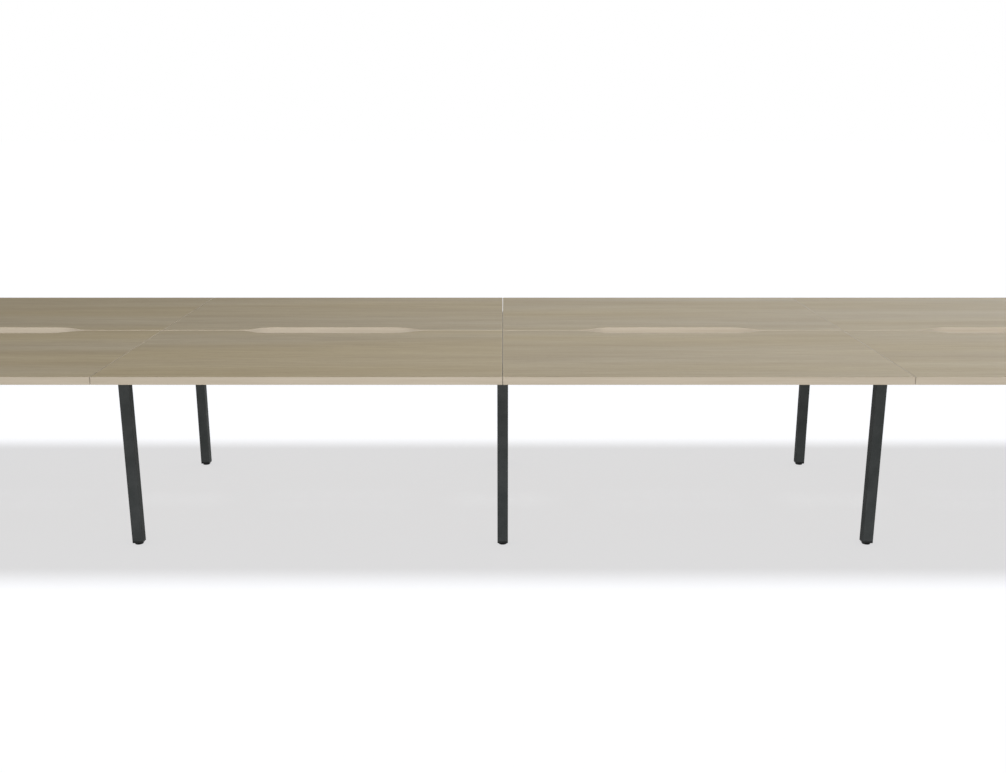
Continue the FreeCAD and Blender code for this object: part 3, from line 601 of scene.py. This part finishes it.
def studio_floor():
    """Pale floor: white where nothing shades it, with the desk's shadow under it, and clear from below."""
    finish, tree, shader = new_finish("pale_studio_floor")
    tree.nodes.remove(shader)
    glow = add(tree, "ShaderNodeEmission", inputs={"Color": linear("#FDFDFF"), "Strength": 0.664})
    shaded = add(tree, "ShaderNodeBsdfDiffuse", inputs={"Color": linear("#939599")})
    bright = add(tree, "ShaderNodeAddShader", inputs={0: glow.outputs[0], 1: shaded.outputs[0]})
    plain = add(tree, "ShaderNodeEmission", inputs={"Color": linear("#FFFFFF"), "Strength": 1.0})
    mixed = add(tree, "ShaderNodeMixShader",
                inputs={0: seen_straight(tree), 1: plain.outputs[0], 2: bright.outputs[0]})
    clear = add(tree, "ShaderNodeMixShader",
                inputs={0: add(tree, "ShaderNodeNewGeometry").outputs["Backfacing"], 1: mixed.outputs[0],
                        2: add(tree, "ShaderNodeBsdfTransparent").outputs[0]})
    tree.links.new(clear.outputs[0], tree.nodes["Material Output"].inputs["Surface"])
    return finish


floor_mesh = bpy.data.meshes.new("studio_floor")
REACH = 60
floor_mesh.from_pydata([(-REACH, -REACH, 0), (REACH, -REACH, 0), (REACH, REACH, 0), (-REACH, REACH, 0)],
                       [], [(0, 1, 2, 3)])
floor_mesh.materials.append(studio_floor())
floor = bpy.data.objects.new("studio_floor", floor_mesh)
bpy.context.scene.collection.objects.link(floor)

world = bpy.data.worlds.new("studio")
bpy.context.scene.world = world
world.use_nodes = True
sky = world.node_tree
sky.nodes.clear()
soft = add(sky, "ShaderNodeBackground", inputs={"Color": linear("#FFFFFF"), "Strength": 0.2})
white = add(sky, "ShaderNodeBackground", inputs={"Color": linear("#FFFFFF"), "Strength": 1.0})
mixed = add(sky, "ShaderNodeMixShader",
            inputs={0: seen_straight(sky), 1: soft.outputs[0], 2: white.outputs[0]})
add(sky, "ShaderNodeOutputWorld", inputs={"Surface": mixed.outputs[0]})


def receivers(name, thing, state="INCLUDE"):
    """A collection that lets a lamp light only one thing, or everything but that."""
    collection = bpy.data.collections.new(name)
    collection.objects.link(thing)
    collection.collection_objects[0].light_linking.link_state = state
    return collection


def lamp(name, kind, energy, location, target, lights, mirrored=False, **settings):
    """A lamp aimed at a point, which lights a collection of things and may show in reflections."""
    data = bpy.data.lights.new(name, kind)
    data.energy = energy
    for setting, value in settings.items():
        setattr(data, setting, value)
    thing = bpy.data.objects.new(name, data)
    thing.location = location
    thing.rotation_euler = (Vector(target) - Vector(location)).to_track_quat("-Z", "Y").to_euler()
    thing.visible_camera, thing.visible_glossy = False, mirrored
    thing.light_linking.receiver_collection = lights
    bpy.context.scene.collection.objects.link(thing)
    return thing


# Softboxes light the desk from the front, from above and through a window wall behind
desk_alone = receivers("desk_alone", floor, "EXCLUDE")
lamp("front_softbox", "AREA", 352, (0, -8, 0.6), (0, 0, 0.5), desk_alone,
     shape="RECTANGLE", size=4.5, size_y=1.0)
lamp("overhead_softbox", "AREA", 186, (0.2, -2.7, 5.2), (0, 0, 0.7), desk_alone,
     shape="RECTANGLE", size=7.0, size_y=2.5)
window = lamp("window_wall", "AREA", 1350, (3.1, 11.6, 4.2), (0, 0, 0.7), desk_alone, mirrored=True,
              shape="RECTANGLE", size=24.0, size_y=8.0)
# The window wall is brighter to the right, which shows as a veil on the tops
window.data.use_nodes = True
panes = window.data.node_tree
spot = add(panes, "ShaderNodeNewGeometry").outputs["Parametric"]
across = add(panes, "ShaderNodeSeparateXYZ", inputs={0: spot})
brighter = add(panes, "ShaderNodeMapRange",
               inputs={"Value": across.outputs["X"], "From Min": 0.86, "From Max": 0.05, "To Max": 2.7})
panes.links.new(brighter.outputs[0], panes.nodes["Emission"].inputs["Strength"])
# A lamp on either side lights only the far row's bands, for the walls of the cable ports deep in their slot
for row, way in ROWS.items():
    lamp("port_lamp_" + row, "SUN", 2.88, (0, -5 * way, 2.05), (0, 0, HEIGHT),
         receivers("bands_" + row, bands[row]), angle=math.radians(1))
# The lamp for the floor alone draws the desk's shadow
lamp("floor_lamp", "SUN", math.pi, (0, 0, 6), (0, 0, 0), receivers("floor_alone", floor),
     angle=math.radians(16))

# The camera's place in metres and its tilt below level in degrees, with its lens in mm, as in the photograph
CAMERA_PLACE, CAMERA_TILT, CAMERA_LENS = (0.0012, -4.3024, 1.6013), 14.352, 38.06
camera_data = bpy.data.cameras.new("photo_view")
camera_data.sensor_width, camera_data.lens = 36.0, CAMERA_LENS
camera = bpy.data.objects.new("photo_view", camera_data)
camera.location = CAMERA_PLACE
camera.rotation_euler = (math.radians(90 - CAMERA_TILT), 0, 0)
bpy.context.scene.collection.objects.link(camera)
bpy.context.scene.camera = camera
bpy.context.scene.view_settings.view_transform = "Standard"
